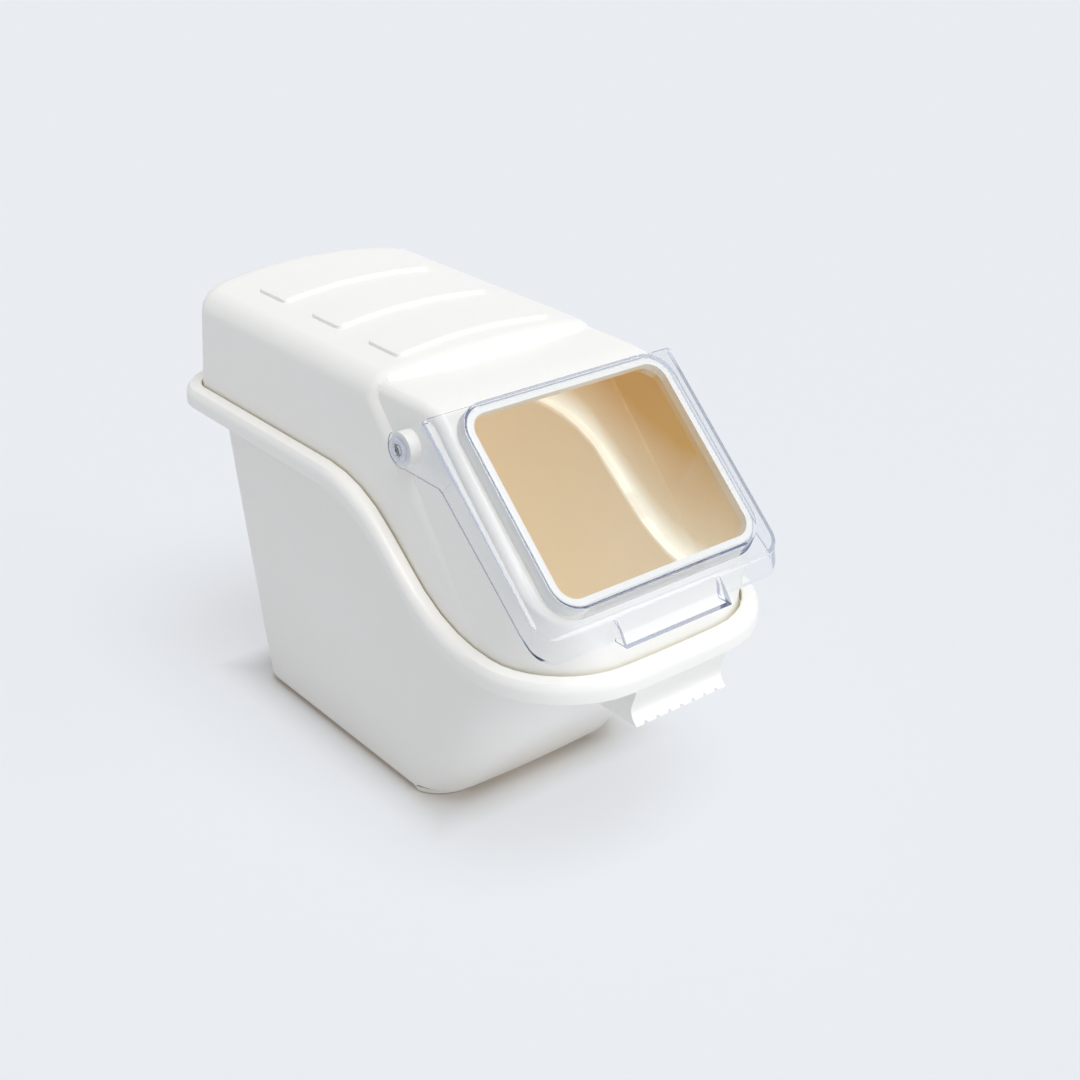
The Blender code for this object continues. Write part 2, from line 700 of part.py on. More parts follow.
def make_pads():
    pads = []
    steps = even_steps(PAD_SIDE_STEPS)
    for k in range(PAD_COUNT):
        rear = BODY_REAR - HOOD_REAR_LEAN - PAD_FROM_REAR - k * PAD_PITCH
        rings = []
        levels = (
            (0.0, -JOIN), (PAD_DRAFT, PAD_HEIGHT - PAD_EDGE),
            (PAD_DRAFT + PAD_EDGE * ROUND_MIDDLE, PAD_HEIGHT - PAD_EDGE * ROUND_MIDDLE),
            (PAD_DRAFT + PAD_EDGE, PAD_HEIGHT))
        for inset, z in levels:
            plan = half_outline(
                PAD_HALF_WIDTH - inset, rear - PAD_LENGTH + inset, rear - inset, PAD_CORNER - inset,
                PAD_CORNER - inset, steps)
            rings.append([(x, y, HOOD_HEIGHT + z + crown(x)) for x, y in plan])
        pads.append(ring_solid("pad", rings + crowned_rings(rings[-1], HOOD_HEIGHT + PAD_HEIGHT)))
    return pads


def seat_cutter():
    """Everything below the hood's bottom edge, which follows the rim's ledge."""
    past = BEAD_WIDTH * 2
    places = [BODY_FRONT - past]
    for step in [0.0] + TUB_STEPS + [1.0]:
        places.append(lerp(BODY_FRONT + FRONT_CORNER, BODY_REAR - BODY_CORNER, step))
    places.append(BODY_REAR + past)
    edge = [(y, rim_height(y) - LEDGE_DROP + SEAT_GAP) for y in places]
    return across("below_seat", BODY_HALF_WIDTH * 2, edge + [(edge[-1][0], 0.0), (edge[0][0], 0.0)])


def make_hood():
    hood = block_solid("hood", 0.0, CUT_PAST)
    boolean(hood, "UNION", *make_pads(), solver=ROOF_SOLVER)
    boolean(hood, "UNION", front_solid("front", 0.0, CUT_PAST + SKIRT_STEP), solver=ROOF_SOLVER)
    curb = slope_prism(
        "curb", CURB_HALF_WIDTH, CURB_LOW, CURB_HIGH, WINDOW_CORNER + CURB_WIDTH,
        ((0.0, -JOIN), (0.0, CURB_HEIGHT - CURB_EDGE),
         (CURB_EDGE * ROUND_MIDDLE, CURB_HEIGHT - CURB_EDGE * ROUND_MIDDLE), (CURB_EDGE, CURB_HEIGHT)))
    boolean(hood, "UNION", curb, solver=ROOF_SOLVER)
    pivot = slope_point(0.0, PIVOT_ALONG, -PIVOT_DEPTH)
    boss_end = EAR_INSIDE - SEAT_GAP
    for side in (-1.0, 1.0):
        root = side * (FRONT_TOP_HALF - JOIN)
        boss = rod("boss", BOSS_RADIUS, root, side * boss_end, pivot[1], pivot[2])
        boolean(hood, "UNION", boss, solver=ROOF_SOLVER)
    cavity = block_solid("cavity", HOOD_WALL, CUT_PAST + SKIRT_STEP * 3)
    front_cavity = front_solid("front_cavity", HOOD_WALL, CUT_PAST + SKIRT_STEP * 4)
    boolean(cavity, "UNION", front_cavity, solver=ROOF_SOLVER)
    curb_room = slope_prism(
        "curb_room", CURB_HALF_WIDTH - HOOD_WALL, CURB_LOW + HOOD_WALL, CURB_HIGH - HOOD_WALL,
        WINDOW_CORNER + CURB_WIDTH, ((0.0, -HOOD_WALL - CUT_PAST), (0.0, CURB_HEIGHT - CURB_LIP)))
    boolean(cavity, "UNION", curb_room, solver=ROOF_SOLVER)
    boolean(hood, "DIFFERENCE", cavity, solver=ROOF_SOLVER)
    window = slope_prism(
        "window", WINDOW_HALF_WIDTH, WINDOW_LOW, WINDOW_HIGH, WINDOW_CORNER,
        ((0.0, -HOOD_WALL - CUT_PAST * 2), (0.0, CURB_HEIGHT + CUT_PAST)))
    boolean(hood, "DIFFERENCE", window, seat_cutter(), solver=ROOF_SOLVER)
    for side in (-1.0, 1.0):
        bore = rod(
            "bore", PIN_RADIUS + PIN_GAP, side * (boss_end - PIN_LENGTH), side * (boss_end + CUT_PAST),
            pivot[1], pivot[2], "X", PIN_FACETS)
        boolean(hood, "DIFFERENCE", bore, solver=ROOF_SOLVER)
    return hood


# Door

def door_rings():
    """Rings of the clear sheet: outer panel, rise, margin, bend, skirt, and back up the inside."""
    steps = even_steps(DOOR_SIDE_STEPS)
    under = DOOR_MARGIN_GAP
    margin = under + SHEET
    panel = CURB_HEIGHT + DOOR_TOP_GAP + SHEET
    rise_corner = WINDOW_CORNER + CURB_WIDTH + DOOR_TOP_GAP
    low = WINDOW_LOW - DOOR_BOTTOM_REACH
    high = CURB_HIGH + DOOR_TOP_GAP + SHEET + DOOR_TOP_LIP

    def rise(out, above):
        top_out = min(out, DOOR_TOP_GAP + SHEET)
        plan = half_outline(
            CURB_HALF_WIDTH + out, CURB_LOW - out, CURB_HIGH + top_out, rise_corner + out, rise_corner + out,
            steps)
        return [slope_point(x, along, above) for x, along in plan]

    def edge(inset, above, top_above):
        plan = half_outline(
            DOOR_HALF_WIDTH - inset, low + inset, high - inset * TOP_INSET, DOOR_CORNER - inset,
            DOOR_TOP_CORNER, steps)
        on_top = high - DOOR_TOP_CORNER + TINY
        return [slope_point(x, along, top_above if along > on_top else above) for x, along in plan]

    def skirt(inset, top_above):
        reach = math.sin(SLOPE) * BOTTOM_SKIRT
        bottom = math.cos(SLOPE) * BOTTOM_SKIRT
        plan = half_outline(
            DOOR_HALF_WIDTH - inset, low + inset - reach, high - inset * TOP_INSET, DOOR_CORNER - inset,
            DOOR_TOP_CORNER, steps)
        ring = []
        for x, along in plan:
            side = lerp(SIDE_SKIRT_LOW, SIDE_SKIRT_HIGH, smooth((along - low) / (high - low)))
            above = margin - lerp(bottom, side, smooth((along - low + reach) / (DOOR_CORNER + reach)))
            if along > high - DOOR_TOP_CORNER + TINY:
                above = top_above
            ring.append(slope_point(x, along, above))
        return ring

    gap = DOOR_TOP_GAP
    foot_gap = DOOR_TOP_GAP + DOOR_RISE_DRAFT
    return [
        rise(gap + SHEET - PANEL_EDGE, panel),
        rise(gap + SHEET - PANEL_EDGE * ROUND_MIDDLE, panel - PANEL_EDGE * ROUND_MIDDLE),
        rise(gap + SHEET, panel - PANEL_EDGE),
        rise(foot_gap + SHEET, margin),
        edge(DOOR_BEND, margin, margin),
        edge(DOOR_BEND * ROUND_MIDDLE, margin - DOOR_BEND * ROUND_MIDDLE, margin - SHEET * TOP_FALL[0]),
        edge(0.0, margin - DOOR_BEND, margin - SHEET * TOP_FALL[1]),
        skirt(0.0, margin - SHEET * TOP_FALL[2]),
        skirt(SHEET, under),
        edge(SHEET + BEND_INNER_ROUND, under - DOOR_BEND * ROUND_MIDDLE, under),
        edge(DOOR_BEND + BEND_INNER_INSET, under, under),
        rise(foot_gap, under),
        rise(gap, panel - SHEET - PANEL_INNER_ROUND),
        rise(gap - PANEL_INNER_INSET, panel - SHEET)]


def ear_profile():
    """Side view of an ear: a round end on the pivot, straight edges back to the side skirt."""
    margin = DOOR_MARGIN_GAP + SHEET
    high = CURB_HIGH + DOOR_TOP_GAP + SHEET + DOOR_TOP_LIP
    top = margin - SHEET - EAR_TOP_DROP
    points = [(high - EAR_ROOT, top), (high - EAR_TOP_INSET, top)]
    for k in range(EAR_FACETS + 1):
        angle = math.radians(lerp(EAR_ROUND_FROM, EAR_ROUND_TO, k / EAR_FACETS))
        along = PIVOT_ALONG + EAR_RADIUS * math.cos(angle)
        points.append((along, -PIVOT_DEPTH + EAR_RADIUS * math.sin(angle)))
    edge = margin - SIDE_SKIRT_HIGH + EAR_SINK
    points.append((high - EAR_ROOT + EAR_NOSE, edge - EAR_NOSE_DROP))
    points.append((high - EAR_ROOT, edge))
    return [slope_point(0.0, along, above)[1:] for along, above in points]


def tab_profile(shell, below):
    """Side view of the finger tab: it leaves the bottom skirt at the bend and flares forward."""
    margin = DOOR_MARGIN_GAP + SHEET
    low = WINDOW_LOW - DOOR_BOTTOM_REACH
    reach = math.sin(SLOPE) * BOTTOM_SKIRT
    depth = math.cos(SLOPE) * BOTTOM_SKIRT
    root_y, root_z = slope_point(0.0, low, margin - SHEET)[1:]
    end_y, end_z = slope_point(0.0, low - reach, margin - depth)[1:]
    lip = (end_y - TAB_BULGE + shell, end_z - TAB_DROP - below)
    middle = (lerp(root_y, end_y - TAB_BULGE, TAB_MIDDLE) + shell - TAB_SWELL, (root_z + end_z) / 2)
    root = (root_y + TAB_ROOT + shell, root_z - shell * TAB_ROOT)
    behind = TAB_SINK if shell == 0.0 else SHEET + TAB_ROOM
    back = end_y + behind
    top_back = root_y + behind
    return [root, middle, lip, (back, end_z - TAB_DROP - below), (top_back, root[1])]


def make_door():
    door = ring_solid("door", door_rings())
    pivot = slope_point(0.0, PIVOT_ALONG, -PIVOT_DEPTH)
    for side in (-1.0, 1.0):
        middle = side * (EAR_INSIDE + EAR_OUTSIDE) / 2
        boolean(door, "UNION", across("ear", EAR_THICKNESS / 2, ear_profile(), middle))
        eye = rod(
            "eye", PIN_RADIUS + PIN_GAP, side * (EAR_INSIDE - CUT_PAST), side * (EAR_OUTSIDE + CUT_PAST),
            pivot[1], pivot[2], "X", PIN_FACETS)
        boolean(door, "DIFFERENCE", eye)
    boolean(door, "UNION", across("tab", TAB_HALF_WIDTH, tab_profile(0.0, 0.0)))
    boolean(door, "DIFFERENCE", across("tab_room", TAB_HALF_WIDTH - SHEET, tab_profile(SHEET, CUT_PAST)))
    return door


# Hinge pins

def make_pin(name, side):
    """Turned push pin: ringed head outside the ear, shank in the boss."""
    head_inside = EAR_OUTSIDE + PIN_GAP
    head_outside = head_inside + PIN_HEAD
    shank_end = EAR_INSIDE - SEAT_GAP - PIN_LENGTH + PIN_GAP
    low = head_outside - PIN_RELIEF
    groove_end = PIN_GROOVE + PIN_GROOVE_WIDTH
    profile = [
        (0.0, low), (PIN_DIMPLE, low), (PIN_DIMPLE + PIN_BEVEL, head_outside),
        (PIN_GROOVE - PIN_BEVEL, head_outside), (PIN_GROOVE, low), (groove_end, low),
        (groove_end + PIN_BEVEL, head_outside), (PIN_HEAD_RADIUS - PIN_EDGE, head_outside),
        (PIN_HEAD_RADIUS, head_outside - PIN_EDGE), (PIN_HEAD_RADIUS, head_inside),
        (PIN_RADIUS, head_inside), (PIN_RADIUS, shank_end + PIN_EDGE),
        (PIN_RADIUS - PIN_EDGE, shank_end), (0.0, shank_end)]
    mesh = bmesh.new()
    verts = [mesh.verts.new(Vector((side * x, 0.0, r)) * MM) for r, x in profile]
    edges = [mesh.edges.new(pair) for pair in zip(verts, verts[1:])]
    bmesh.ops.spin(
        mesh, geom=verts + edges, cent=(0, 0, 0), axis=(1, 0, 0), angle=2 * math.pi, steps=PIN_FACETS,
        use_merge=True)
    bmesh.ops.remove_doubles(mesh, verts=mesh.verts, dist=1e-6)
    pivot = slope_point(0.0, PIVOT_ALONG, -PIVOT_DEPTH)
    bmesh.ops.translate(mesh, verts=mesh.verts, vec=Vector(pivot) * MM)
    return new_object(name, mesh)


def main():
    for old in list(bpy.data.objects):
        bpy.data.objects.remove(old)
    pivot = slope_point(0.0, PIVOT_ALONG, -PIVOT_DEPTH)
    finish(make_tub(), plastic("tub_white", WHITE, WHITE_ROUGHNESS))
    finish(make_hood(), plastic("hood_white", WHITE, WHITE_ROUGHNESS))
    finish(make_door(), plastic("door_clear", CLEAR, CLEAR_ROUGHNESS, CLEAR_ALPHA), pivot)
    for side, hand in ((-1.0, "left"), (1.0, "right")):
        clear = plastic("pin_clear_" + hand, CLEAR, CLEAR_ROUGHNESS, CLEAR_ALPHA)
        finish(make_pin("hinge_pin_" + hand, side), clear, pivot)


main()
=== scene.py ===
import math

import bmesh
import bpy
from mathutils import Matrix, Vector
from mathutils.bvhtree import BVHTree


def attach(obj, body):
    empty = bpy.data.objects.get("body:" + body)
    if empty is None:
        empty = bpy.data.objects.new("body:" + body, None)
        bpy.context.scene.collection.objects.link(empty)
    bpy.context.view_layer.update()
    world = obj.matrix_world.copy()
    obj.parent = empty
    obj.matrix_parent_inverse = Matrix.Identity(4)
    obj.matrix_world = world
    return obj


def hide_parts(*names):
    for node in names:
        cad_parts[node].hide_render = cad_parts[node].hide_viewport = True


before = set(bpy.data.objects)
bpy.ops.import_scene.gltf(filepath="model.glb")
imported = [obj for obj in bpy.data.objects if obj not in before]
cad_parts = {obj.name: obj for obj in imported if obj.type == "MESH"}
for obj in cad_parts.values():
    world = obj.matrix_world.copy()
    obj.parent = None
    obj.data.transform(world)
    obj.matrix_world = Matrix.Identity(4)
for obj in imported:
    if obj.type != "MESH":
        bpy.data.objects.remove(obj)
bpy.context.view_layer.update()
print("frame loaded:", sorted(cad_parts))


# shader maths: a socket that can be added, multiplied and so on

noiseMiddle = 0.5


class Sock:
    def __init__(self, tree, socket):
        self.tree = tree
        self.socket = socket

    def node(self, kind, settings=None, **links):
        made = self.tree.nodes.new(kind)
        for name, value in (settings or {}).items():
            setattr(made, name, value)
        for name, value in links.items():
            target = made.inputs[int(name[1:])] if name[1:].isdigit() else made.inputs[name]
            if isinstance(value, Sock):
                self.tree.links.new(value.socket, target)
            else:
                target.default_value = value
        return made

    def wrap(self, socket):
        return Sock(self.tree, socket)

    def maths(self, operation, first, second=0.0, clamp=False):
        made = self.node("ShaderNodeMath", {"operation": operation, "use_clamp": clamp}, i0=first, i1=second)
        return self.wrap(made.outputs[0])

    def __add__(self, other):
        return self.maths("ADD", self, other)

    def __radd__(self, other):
        return self.maths("ADD", other, self)

    def __sub__(self, other):
        return self.maths("SUBTRACT", self, other)

    def __rsub__(self, other):
        return self.maths("SUBTRACT", other, self)

    def __mul__(self, other):
        return self.maths("MULTIPLY", self, other)

    def __rmul__(self, other):
        return self.maths("MULTIPLY", other, self)

    def __truediv__(self, other):
        return self.maths("DIVIDE", self, other)

    def __rtruediv__(self, other):
        return self.maths("DIVIDE", other, self)

    def clamp(self):
        return self.maths("ADD", self, 0.0, clamp=True)

    def rise(self, limits):  # 0 below the first limit, 1 above the second
        return ((self - limits[0]) / (limits[1] - limits[0])).clamp()

    def attribute(self, name):
        return self.wrap(self.node("ShaderNodeAttribute", {"attribute_name": name}).outputs["Fac"])

    def noise(self, scale, detail=3.0, rough=0.55):
        made = self.node("ShaderNodeTexNoise", None, Vector=self, Scale=scale, Detail=detail, Roughness=rough)
        return self.wrap(made.outputs["Fac"])

    def blend(self, first, second):
        made = self.node("ShaderNodeMix", {"data_type": "RGBA"}, i0=self, i6=first, i7=second)
        return self.wrap(made.outputs[2])

    def bump(self, strength, distance):
        made = self.node("ShaderNodeBump", None, Strength=strength, Distance=distance, Height=self)
        return self.wrap(made.outputs[0])


def newMaterial(name):
    made = bpy.data.materials.new(name)
    made.use_nodes = True
    tree = made.node_tree
    coords = tree.nodes.new("ShaderNodeTexCoord")
    return made, tree.nodes["Principled BSDF"], Sock(tree, coords.outputs["Object"])


def plug(shader, name, value):
    if isinstance(value, Sock):
        value.tree.links.new(value.socket, shader.inputs[name])
    else:
        shader.inputs[name].default_value = value


def showShader(made, shader):
    made.node_tree.links.new(shader.outputs[0], made.node_tree.nodes["Material Output"].inputs["Surface"])


def letThrough(made, shader, place, films):  # rays of these kinds pass straight, dimmed by the film's colour
    path = place.node("ShaderNodeLightPath")
    mixed = shader
    for ray, colour in films:
        film = place.node("ShaderNodeBsdfTransparent", None, Color=colour)
        mixed = place.node(
            "ShaderNodeMixShader", None, i0=place.wrap(path.outputs[ray]), i1=place.wrap(mixed.outputs[0]),
            i2=place.wrap(film.outputs[0]))
    showShader(made, mixed)


# moulded pieces: smooth copies of the frame's own shapes

shells = {
    "weld": 0.00001,
    "joinTurn": 6.0,  # degrees, as are the next two
    "joinSkew": 60.0,
    "sharpAngle": 32.0,
    "evenWeight": 60,
}


def looseMesh(nodeName):
    built = bmesh.new()
    built.from_mesh(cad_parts[nodeName].data)
    bmesh.ops.remove_doubles(built, verts=built.verts, dist=shells["weld"])
    built.normal_update()
    return built


def makeShell(pieceName, nodeName, body, material, built):
    bmesh.ops.join_triangles(
        built, faces=built.faces, cmp_seam=False, cmp_sharp=False, cmp_uvs=False, cmp_vcols=False,
        cmp_materials=False, angle_face_threshold=math.radians(shells["joinTurn"]),
        angle_shape_threshold=math.radians(shells["joinSkew"]))
    built.normal_update()
    for face in built.faces:
        face.smooth = True
    for edge in built.edges:
        edge.smooth = edge.calc_face_angle(math.pi) < math.radians(shells["sharpAngle"])
    mesh = bpy.data.meshes.new(pieceName)
    built.to_mesh(mesh)
    built.free()
    piece = bpy.data.objects.new(pieceName, mesh)
    bpy.context.scene.collection.objects.link(piece)
    mesh.materials.append(material)
    even = piece.modifiers.new("even", "WEIGHTED_NORMAL")
    even.keep_sharp = True
    even.weight = shells["evenWeight"]
    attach(piece, body)
    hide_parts(nodeName)
    print("piece:", pieceName, len(mesh.polygons), "faces")


# marks for the white plastic's painted light and shade: how shut in each face is, the ledge, the seam and the
# underside

marks = {
    "ballLevels": 2,  # how many ways a face looks
    "graze": 0.1,
    "lift": 0.0004,
    "near": 0.03,  # a hit nearer than this is a seam, a further one is a room
    "reach": 0.6,
    "insideShare": (0.5, 0.7),
    "ledgeOpen": (0.12, 0.2),  # least share of far hits, for a ledge and for a wall
    "wallOpen": (0.3, 0.4),
    "seamShare": (0.6, 0.8),
    "ledgeTilt": (0.2, 0.6),
    "ledgeAbove": 0.06,
    "ledgeStep": 0.004,
    "mostly": 0.5,
    "underBelow": 0.008,
    "underTilt": -0.5,
}


def roomTree():
    room = looseMesh("tub")
    room.from_mesh(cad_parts["hood"].data)
    tree = BVHTree.FromBMesh(room)
    room.free()
    return tree


def lookRound():
    ball = bmesh.new()
    bmesh.ops.create_icosphere(ball, subdivisions=marks["ballLevels"], radius=1.0)
    ways = [corner.co.normalized() for corner in ball.verts]
    ball.free()
    return ways


def rise(value, limits):
    return min(1.0, max(0.0, (value - limits[0]) / (limits[1] - limits[0])))


def markFaces(built, tree, withPaintedSeamShade):
    inside, ledge, paintedSeamShade, under = (
        built.faces.layers.float.new(name) for name in ("inside", "ledge", "paintedSeamShade", "under"))
    ways = lookRound()
    for face in built.faces:
        middle = face.calc_center_median()
        start = middle + face.normal * marks["lift"]
        seen = [
            tree.ray_cast(start, way, marks["reach"])[3]
            for way in ways if way.dot(face.normal) > marks["graze"]]
        near = sum(1 for distance in seen if distance and distance <= marks["near"])
        far = sum(1 for distance in seen if distance and distance > marks["near"])
        # the ledge mask, for a painted highlight on faces that face up inside
        if middle.z > marks["ledgeAbove"]:
            face[ledge] = rise(face.normal.z, marks["ledgeTilt"])
        openLimits = marks["ledgeOpen"] if face[ledge] > marks["mostly"] else marks["wallOpen"]
        # how shut in a face is, which places the painted warm shade and glow inside
        shut = rise(far / max(1, len(seen) - near), marks["insideShare"])
        face[inside] = shut * rise(far / len(seen), openLimits)
        # the seam mask, for painted shade in narrow gaps between parts
        if withPaintedSeamShade:
            face[paintedSeamShade] = rise(near / len(seen), marks["seamShare"])
        # the underside mask, for painted shade on the lowest downward faces
        if middle.z < marks["underBelow"] and face.normal.z < marks["underTilt"]:
            face[under] = 1.0


def ledgeLine(tub):  # height of the tub's inner ledge along its length, from the front up
    inside = tub.faces.layers.float["inside"]
    ledge = tub.faces.layers.float["ledge"]
    found = {}
    for face in tub.faces:
        if face[inside] > marks["mostly"] and face[ledge] > marks["mostly"]:
            for corner in face.verts:
                step = round(corner.co.y / marks["ledgeStep"])
                found[step] = max(corner.co.z, found.get(step, 0.0))
    line = []
    for step, height in sorted(found.items()):
        if not line or height > line[-1][1]:
            line.append((step * marks["ledgeStep"], height))
    return line


def heightAt(line, along):
    if along <= line[0][0]:
        return line[0][1]
    for (y0, z0), (y1, z1) in zip(line, line[1:]):
        if along <= y1:
            return z0 + (z1 - z0) * (along - y0) / (y1 - y0)
    return line[-1][1]


def markAbove(built, line):  # how far each corner stands above the ledge
    above = built.verts.layers.float.new("above")
    for corner in built.verts:
        corner[above] = corner.co.z - heightAt(line, corner.co.y)


room = roomTree()
tubMesh = looseMesh("tub")
hoodMesh = looseMesh("hood")
markFaces(tubMesh, room, withPaintedSeamShade=True)
markFaces(hoodMesh, room, withPaintedSeamShade=False)
ledgeHeights = ledgeLine(tubMesh)
markAbove(tubMesh, ledgeHeights)
markAbove(hoodMesh, ledgeHeights)
print("faces marked, ledge points:", len(ledgeHeights))


# white moulded plastic, letting lamp light through its walls; the warm tint and faint glow inside are painted
# light, with painted shade in the seam and underside and a painted highlight on the ledge

whitePlastic = {
    "colour": (0.90, 0.893, 0.87, 1.0),
    "shade": (0.88, 0.872, 0.845, 1.0),
    # painted light: a warm tan on shut-in faces, deepening to amber high up, stands in for shade and light
    # through the walls
    "inside": (0.96, 0.89, 0.765, 1.0),
    "insideDeep": (0.80, 0.52, 0.10, 1.0),
    # painted highlight: a lighter cream on the up-facing inner ledge
    "ledge": (0.97, 0.94, 0.87, 1.0),
    # painted shade: an olive darkening in the narrow gap between the hood and the rim
    "paintedSeamShade": (0.68, 0.62, 0.38, 1.0),
    # painted shade: a dark brown on the downward faces at the very bottom
    "under": (0.34, 0.29, 0.24, 1.0),
    "dark": (0.0, 0.0, 0.0, 1.0),
    # painted glow: emission on shut-in faces, weaker high up, brightest as a streak along the ledge
    "lit": (0.165, 0.165, 0.145, 1.0),
    "litDeep": (0.036, 0.018, 0.0, 1.0),
    "litLedge": (0.55, 0.68, 0.70, 1.0),
    "litStrength": 0.5,
    "deepAbove": (0.02, 0.1109),  # metres above the ledge
    "deepHeight": (0.25, 0.3611),  # metres above the floor
    "bandRise": (-0.004, 0.0),  # the painted highlight: a glowing streak along the ledge
    "bandFall": (0.006, 0.02267),
    "cloudSize": 9.0,
    "cloudShare": 0.25,
    "glow": 0.1,
    "glowDepth": 0.004,
    "glowTint": (1.0, 0.8, 0.6),
    "through": (0.62, 0.55, 0.45, 1.0),
    "roughness": 0.36,
    "patchSize": 35.0,
    "patchRough": 0.14,
    "scuffSize": 480.0,
    "scuffDetail": 2.0,
    "scuffStretch": (1.0, 0.12, 1.0),
    "scuffEdge": (0.62, 0.7867),
    "scuffSpotSize": 14.0,
    "scuffSpots": (0.5, 0.75),
    "scuffRough": 0.12,
    "scuffHeight": 0.6,
    "grainSize": 1100.0,
    "grainHeight": 0.00002,
    "grainStrength": 0.25,
}


def insideDepth(place, settings, cloud):  # 1 where the painted inside shade is deepest, well above the ledge or high up
    height = place.wrap(place.node("ShaderNodeSeparateXYZ", None, Vector=place).outputs[2])
    deep = place.attribute("above").rise(settings["deepAbove"]) + height.rise(settings["deepHeight"])
    return (deep + settings["cloudShare"] * (cloud - noiseMiddle)).clamp()


def scuffs(place, settings):
    stretched = place.node("ShaderNodeMapping", None, Vector=place, Scale=settings["scuffStretch"])
    lines = place.wrap(stretched.outputs[0]).noise(settings["scuffSize"], settings["scuffDetail"])
    spots = place.noise(settings["scuffSpotSize"])
    return lines.rise(settings["scuffEdge"]) * spots.rise(settings["scuffSpots"])


def makeWhite(settings):
    made, shader, place = newMaterial("whitePlastic")
    inside = place.attribute("inside")
    above = place.attribute("above")
    cloud = place.noise(settings["cloudSize"])
    # painted shade inside: the tan darkens to amber well above the ledge or high up
    deep = insideDepth(place, settings, cloud)
    outer = cloud.blend(settings["colour"], settings["shade"])
    inner = deep.blend(settings["inside"], settings["insideDeep"])
    # painted highlight: the up-facing ledge is made lighter
    inner = place.attribute("ledge").blend(inner, settings["ledge"])
    # painted shade: olive darkening in narrow gaps, where the seam mask is
    shown = place.attribute("paintedSeamShade").blend(inside.blend(outer, inner), settings["paintedSeamShade"])
    # painted shade: the underside is darkened
    plug(shader, "Base Color", place.attribute("under").blend(shown, settings["under"]))
    # painted glow: emission inside and a glowing streak along the ledge, though no lamp is there
    band = above.rise(settings["bandRise"]) * (1.0 - above.rise(settings["bandFall"]))
    lit = band.blend(deep.blend(settings["lit"], settings["litDeep"]), settings["litLedge"])
    plug(shader, "Emission Color", inside.blend(settings["dark"], lit))
    plug(shader, "Emission Strength", settings["litStrength"])
    plug(shader, "Subsurface Weight", settings["glow"])
    plug(shader, "Subsurface Scale", settings["glowDepth"])
    plug(shader, "Subsurface Radius", settings["glowTint"])
    worn = scuffs(place, settings)
    patches = settings["patchRough"] * (place.noise(settings["patchSize"]) - noiseMiddle)
    plug(shader, "Roughness", settings["roughness"] + patches + settings["scuffRough"] * worn)
    relief = place.noise(settings["grainSize"]) + worn * settings["scuffHeight"]
    plug(shader, "Normal", relief.bump(settings["grainStrength"], settings["grainHeight"]))
    letThrough(made, shader, place, (("Is Shadow Ray", settings["through"]),))
    return made


white = makeWhite(whitePlastic)
makeShell("tubShell", "tub", "tub", white, tubMesh)
makeShell("hoodShell", "hood", "hood", white, hoodMesh)


# clear moulded plastic: light from lamps and walls passes straight, the eye sees it bend

clearPlastic = {
    "colour": (0.985, 0.99, 0.995, 1.0),
    "roughness": 0.005,
    "smudgeRough": 0.03,
    "smudgeSize": 22.0,
    "smudgeEdge": (0.5, 0.9),
    "ior": 1.46,
    "clearness": 1.0,
    "through": (0.95, 0.955, 0.96, 1.0),
    "edge": (0.60, 0.63, 0.72, 1.0),  # for light that bounces inside the sheet, which tints its edges
    "waveSize": 18.0,
    "waveDetail": 1.0,
    "waveHeight": 0.00003,
    "waveStrength": 0.2,
}


def makeClear(settings):
    made, shader, place = newMaterial("clearPlastic")
    plug(shader, "Base Color", settings["colour"])
    smudges = place.noise(settings["smudgeSize"]).rise(settings["smudgeEdge"])
    plug(shader, "Roughness", settings["roughness"] + settings["smudgeRough"] * smudges)
    plug(shader, "IOR", settings["ior"])
    plug(shader, "Transmission Weight", settings["clearness"])
    waves = place.noise(settings["waveSize"], settings["waveDetail"])
    plug(shader, "Normal", waves.bump(settings["waveStrength"], settings["waveHeight"]))
    letThrough(made, shader, place, (
        ("Is Reflection Ray", settings["edge"]), ("Is Diffuse Ray", settings["through"]),
        ("Is Shadow Ray", settings["through"])))
    return made


clear = makeClear(clearPlastic)
makeShell("doorShell", "door", "door", clear, looseMesh("door"))
makeShell("pinLeft", "hinge_pin_left", "hood", clear, looseMesh("hinge_pin_left"))
makeShell("pinRight", "hinge_pin_right", "hood", clear, looseMesh("hinge_pin_right"))


# floor, light and camera

studio = {
    "floorSize": 40.0,
    "floorColour": (0.78, 0.805, 0.838, 1.0),
    "floorRoughness": 0.8,
    "floorGloss": 0.1,
    "backColour": (0.82, 0.845, 0.885, 1.0),
    "backStrength": 1.0,
    "backShare": 0.62,  # how much of the floor is the even background, the rest takes shadow
    "footBelow": 0.012,
    "footFade": 0.03,
    "skyColour": (0.97, 0.985, 1.0, 1.0),
    "skyStrength": 0.46,
    "lamps": {
        "softKey": {"from": (0.02, -0.37, 0.93), "strength": 1.85, "angle": 36.0},
        "frontFill": {"from": (0.45, -0.85, 0.25), "strength": 0.6, "angle": 26.0},
    },
}


def seenRays(start):  # what the eye sees straight, in gloss and through clear plastic
    path = start.node("ShaderNodeLightPath")
    seen = start.wrap(path.outputs["Is Camera Ray"]) + start.wrap(path.outputs["Is Glossy Ray"])
    return (seen + start.wrap(path.outputs["Is Transmission Ray"])).clamp()


def offFoot(place, settings):  # 0 on the paper under the tub, 1 clear of it
    low = [corner.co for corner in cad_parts["tub"].data.vertices if corner.co.z < settings["footBelow"]]
    split = place.node("ShaderNodeSeparateXYZ", None, Vector=place)
    gaps = []
    for axis in (0, 1):
        least = min(corner[axis] for corner in low)
        most = max(corner[axis] for corner in low)
        fromMiddle = place.wrap(split.outputs[axis]) - (least + most) / 2
        gaps.append(place.maths("ABSOLUTE", fromMiddle) - (most - least) / 2)
    return (place.maths("MAXIMUM", *gaps) / settings["footFade"]).clamp()


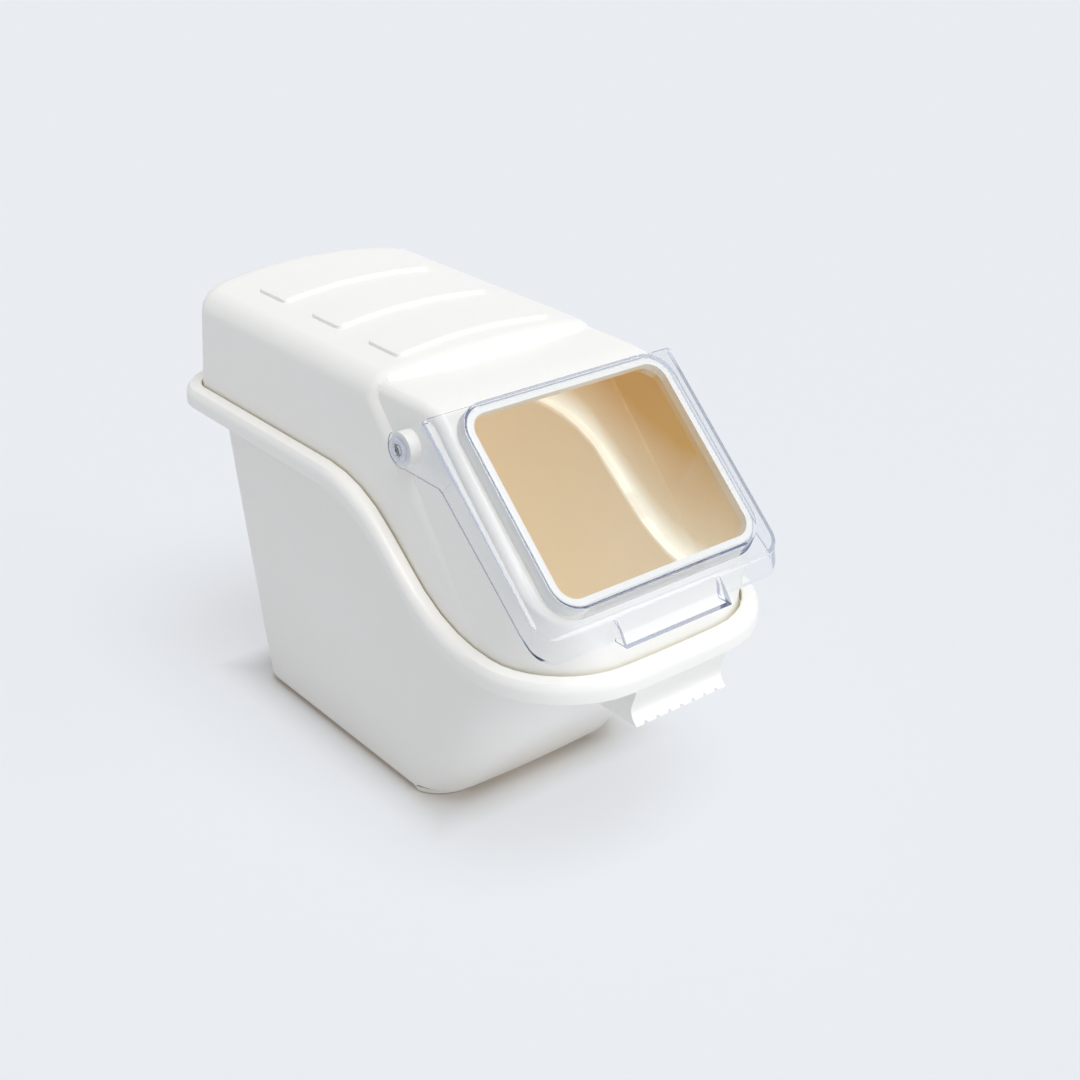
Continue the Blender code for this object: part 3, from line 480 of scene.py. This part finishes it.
def makeFloor(settings):
    mesh = bpy.data.meshes.new("floor")
    built = bmesh.new()
    bmesh.ops.create_grid(built, x_segments=1, y_segments=1, size=settings["floorSize"] / 2)
    built.to_mesh(mesh)
    built.free()
    floor = bpy.data.objects.new("floor", mesh)
    bpy.context.scene.collection.objects.link(floor)
    made, shader, place = newMaterial("floorPaper")
    plug(shader, "Base Color", settings["floorColour"])
    plug(shader, "Roughness", settings["floorRoughness"])
    plug(shader, "Specular IOR Level", settings["floorGloss"])
    back = place.node(
        "ShaderNodeEmission", None, Color=settings["backColour"], Strength=settings["backStrength"])
    share = seenRays(place) * offFoot(place, settings) * settings["backShare"]
    showShader(made, place.node(
        "ShaderNodeMixShader", None, i0=share, i1=place.wrap(shader.outputs[0]),
        i2=place.wrap(back.outputs[0])))
    mesh.materials.append(made)


def makeLamp(name, settings):
    data = bpy.data.lights.new(name, "SUN")
    data.energy = settings["strength"]
    data.angle = math.radians(settings["angle"])
    lamp = bpy.data.objects.new(name, data)
    lamp.rotation_euler = Vector(settings["from"]).to_track_quat("Z", "Y").to_euler()
    bpy.context.scene.collection.objects.link(lamp)


def makeWorld(settings):
    world = bpy.data.worlds.new("studio")
    world.use_nodes = True
    tree = world.node_tree
    sky = tree.nodes["Background"]
    sky.inputs["Color"].default_value = settings["skyColour"]
    sky.inputs["Strength"].default_value = settings["skyStrength"]
    start = Sock(tree, None)
    back = start.node(
        "ShaderNodeBackground", None, Color=settings["backColour"], Strength=settings["backStrength"])
    mixed = start.node(
        "ShaderNodeMixShader", None, i0=seenRays(start), i1=start.wrap(sky.outputs[0]),
        i2=start.wrap(back.outputs[0]))
    tree.links.new(mixed.outputs[0], tree.nodes["World Output"].inputs["Surface"])
    bpy.context.scene.world = world


makeFloor(studio)
for lampName, lampSettings in studio["lamps"].items():
    makeLamp(lampName, lampSettings)
makeWorld(studio)
print("floor and light ready")

viewpoint = {
    "place": (-0.68327, -0.94159, 0.74906),
    "pitchDown": 26.84,
    "turn": 38.94,
    "lens": 55.08,
    "sensor": 36.0,
    "shiftUp": 0.00463,
}


def makeCamera(settings):
    data = bpy.data.cameras.new("camera")
    data.sensor_width = settings["sensor"]
    data.lens = settings["lens"]
    data.shift_y = settings["shiftUp"]
    camera = bpy.data.objects.new("camera", data)
    camera.location = settings["place"]
    camera.rotation_euler = (math.radians(90 - settings["pitchDown"]), 0.0, -math.radians(settings["turn"]))
    bpy.context.scene.collection.objects.link(camera)
    bpy.context.scene.camera = camera


makeCamera(viewpoint)
bpy.context.scene.view_settings.view_transform = "Standard"

print("scene ready")
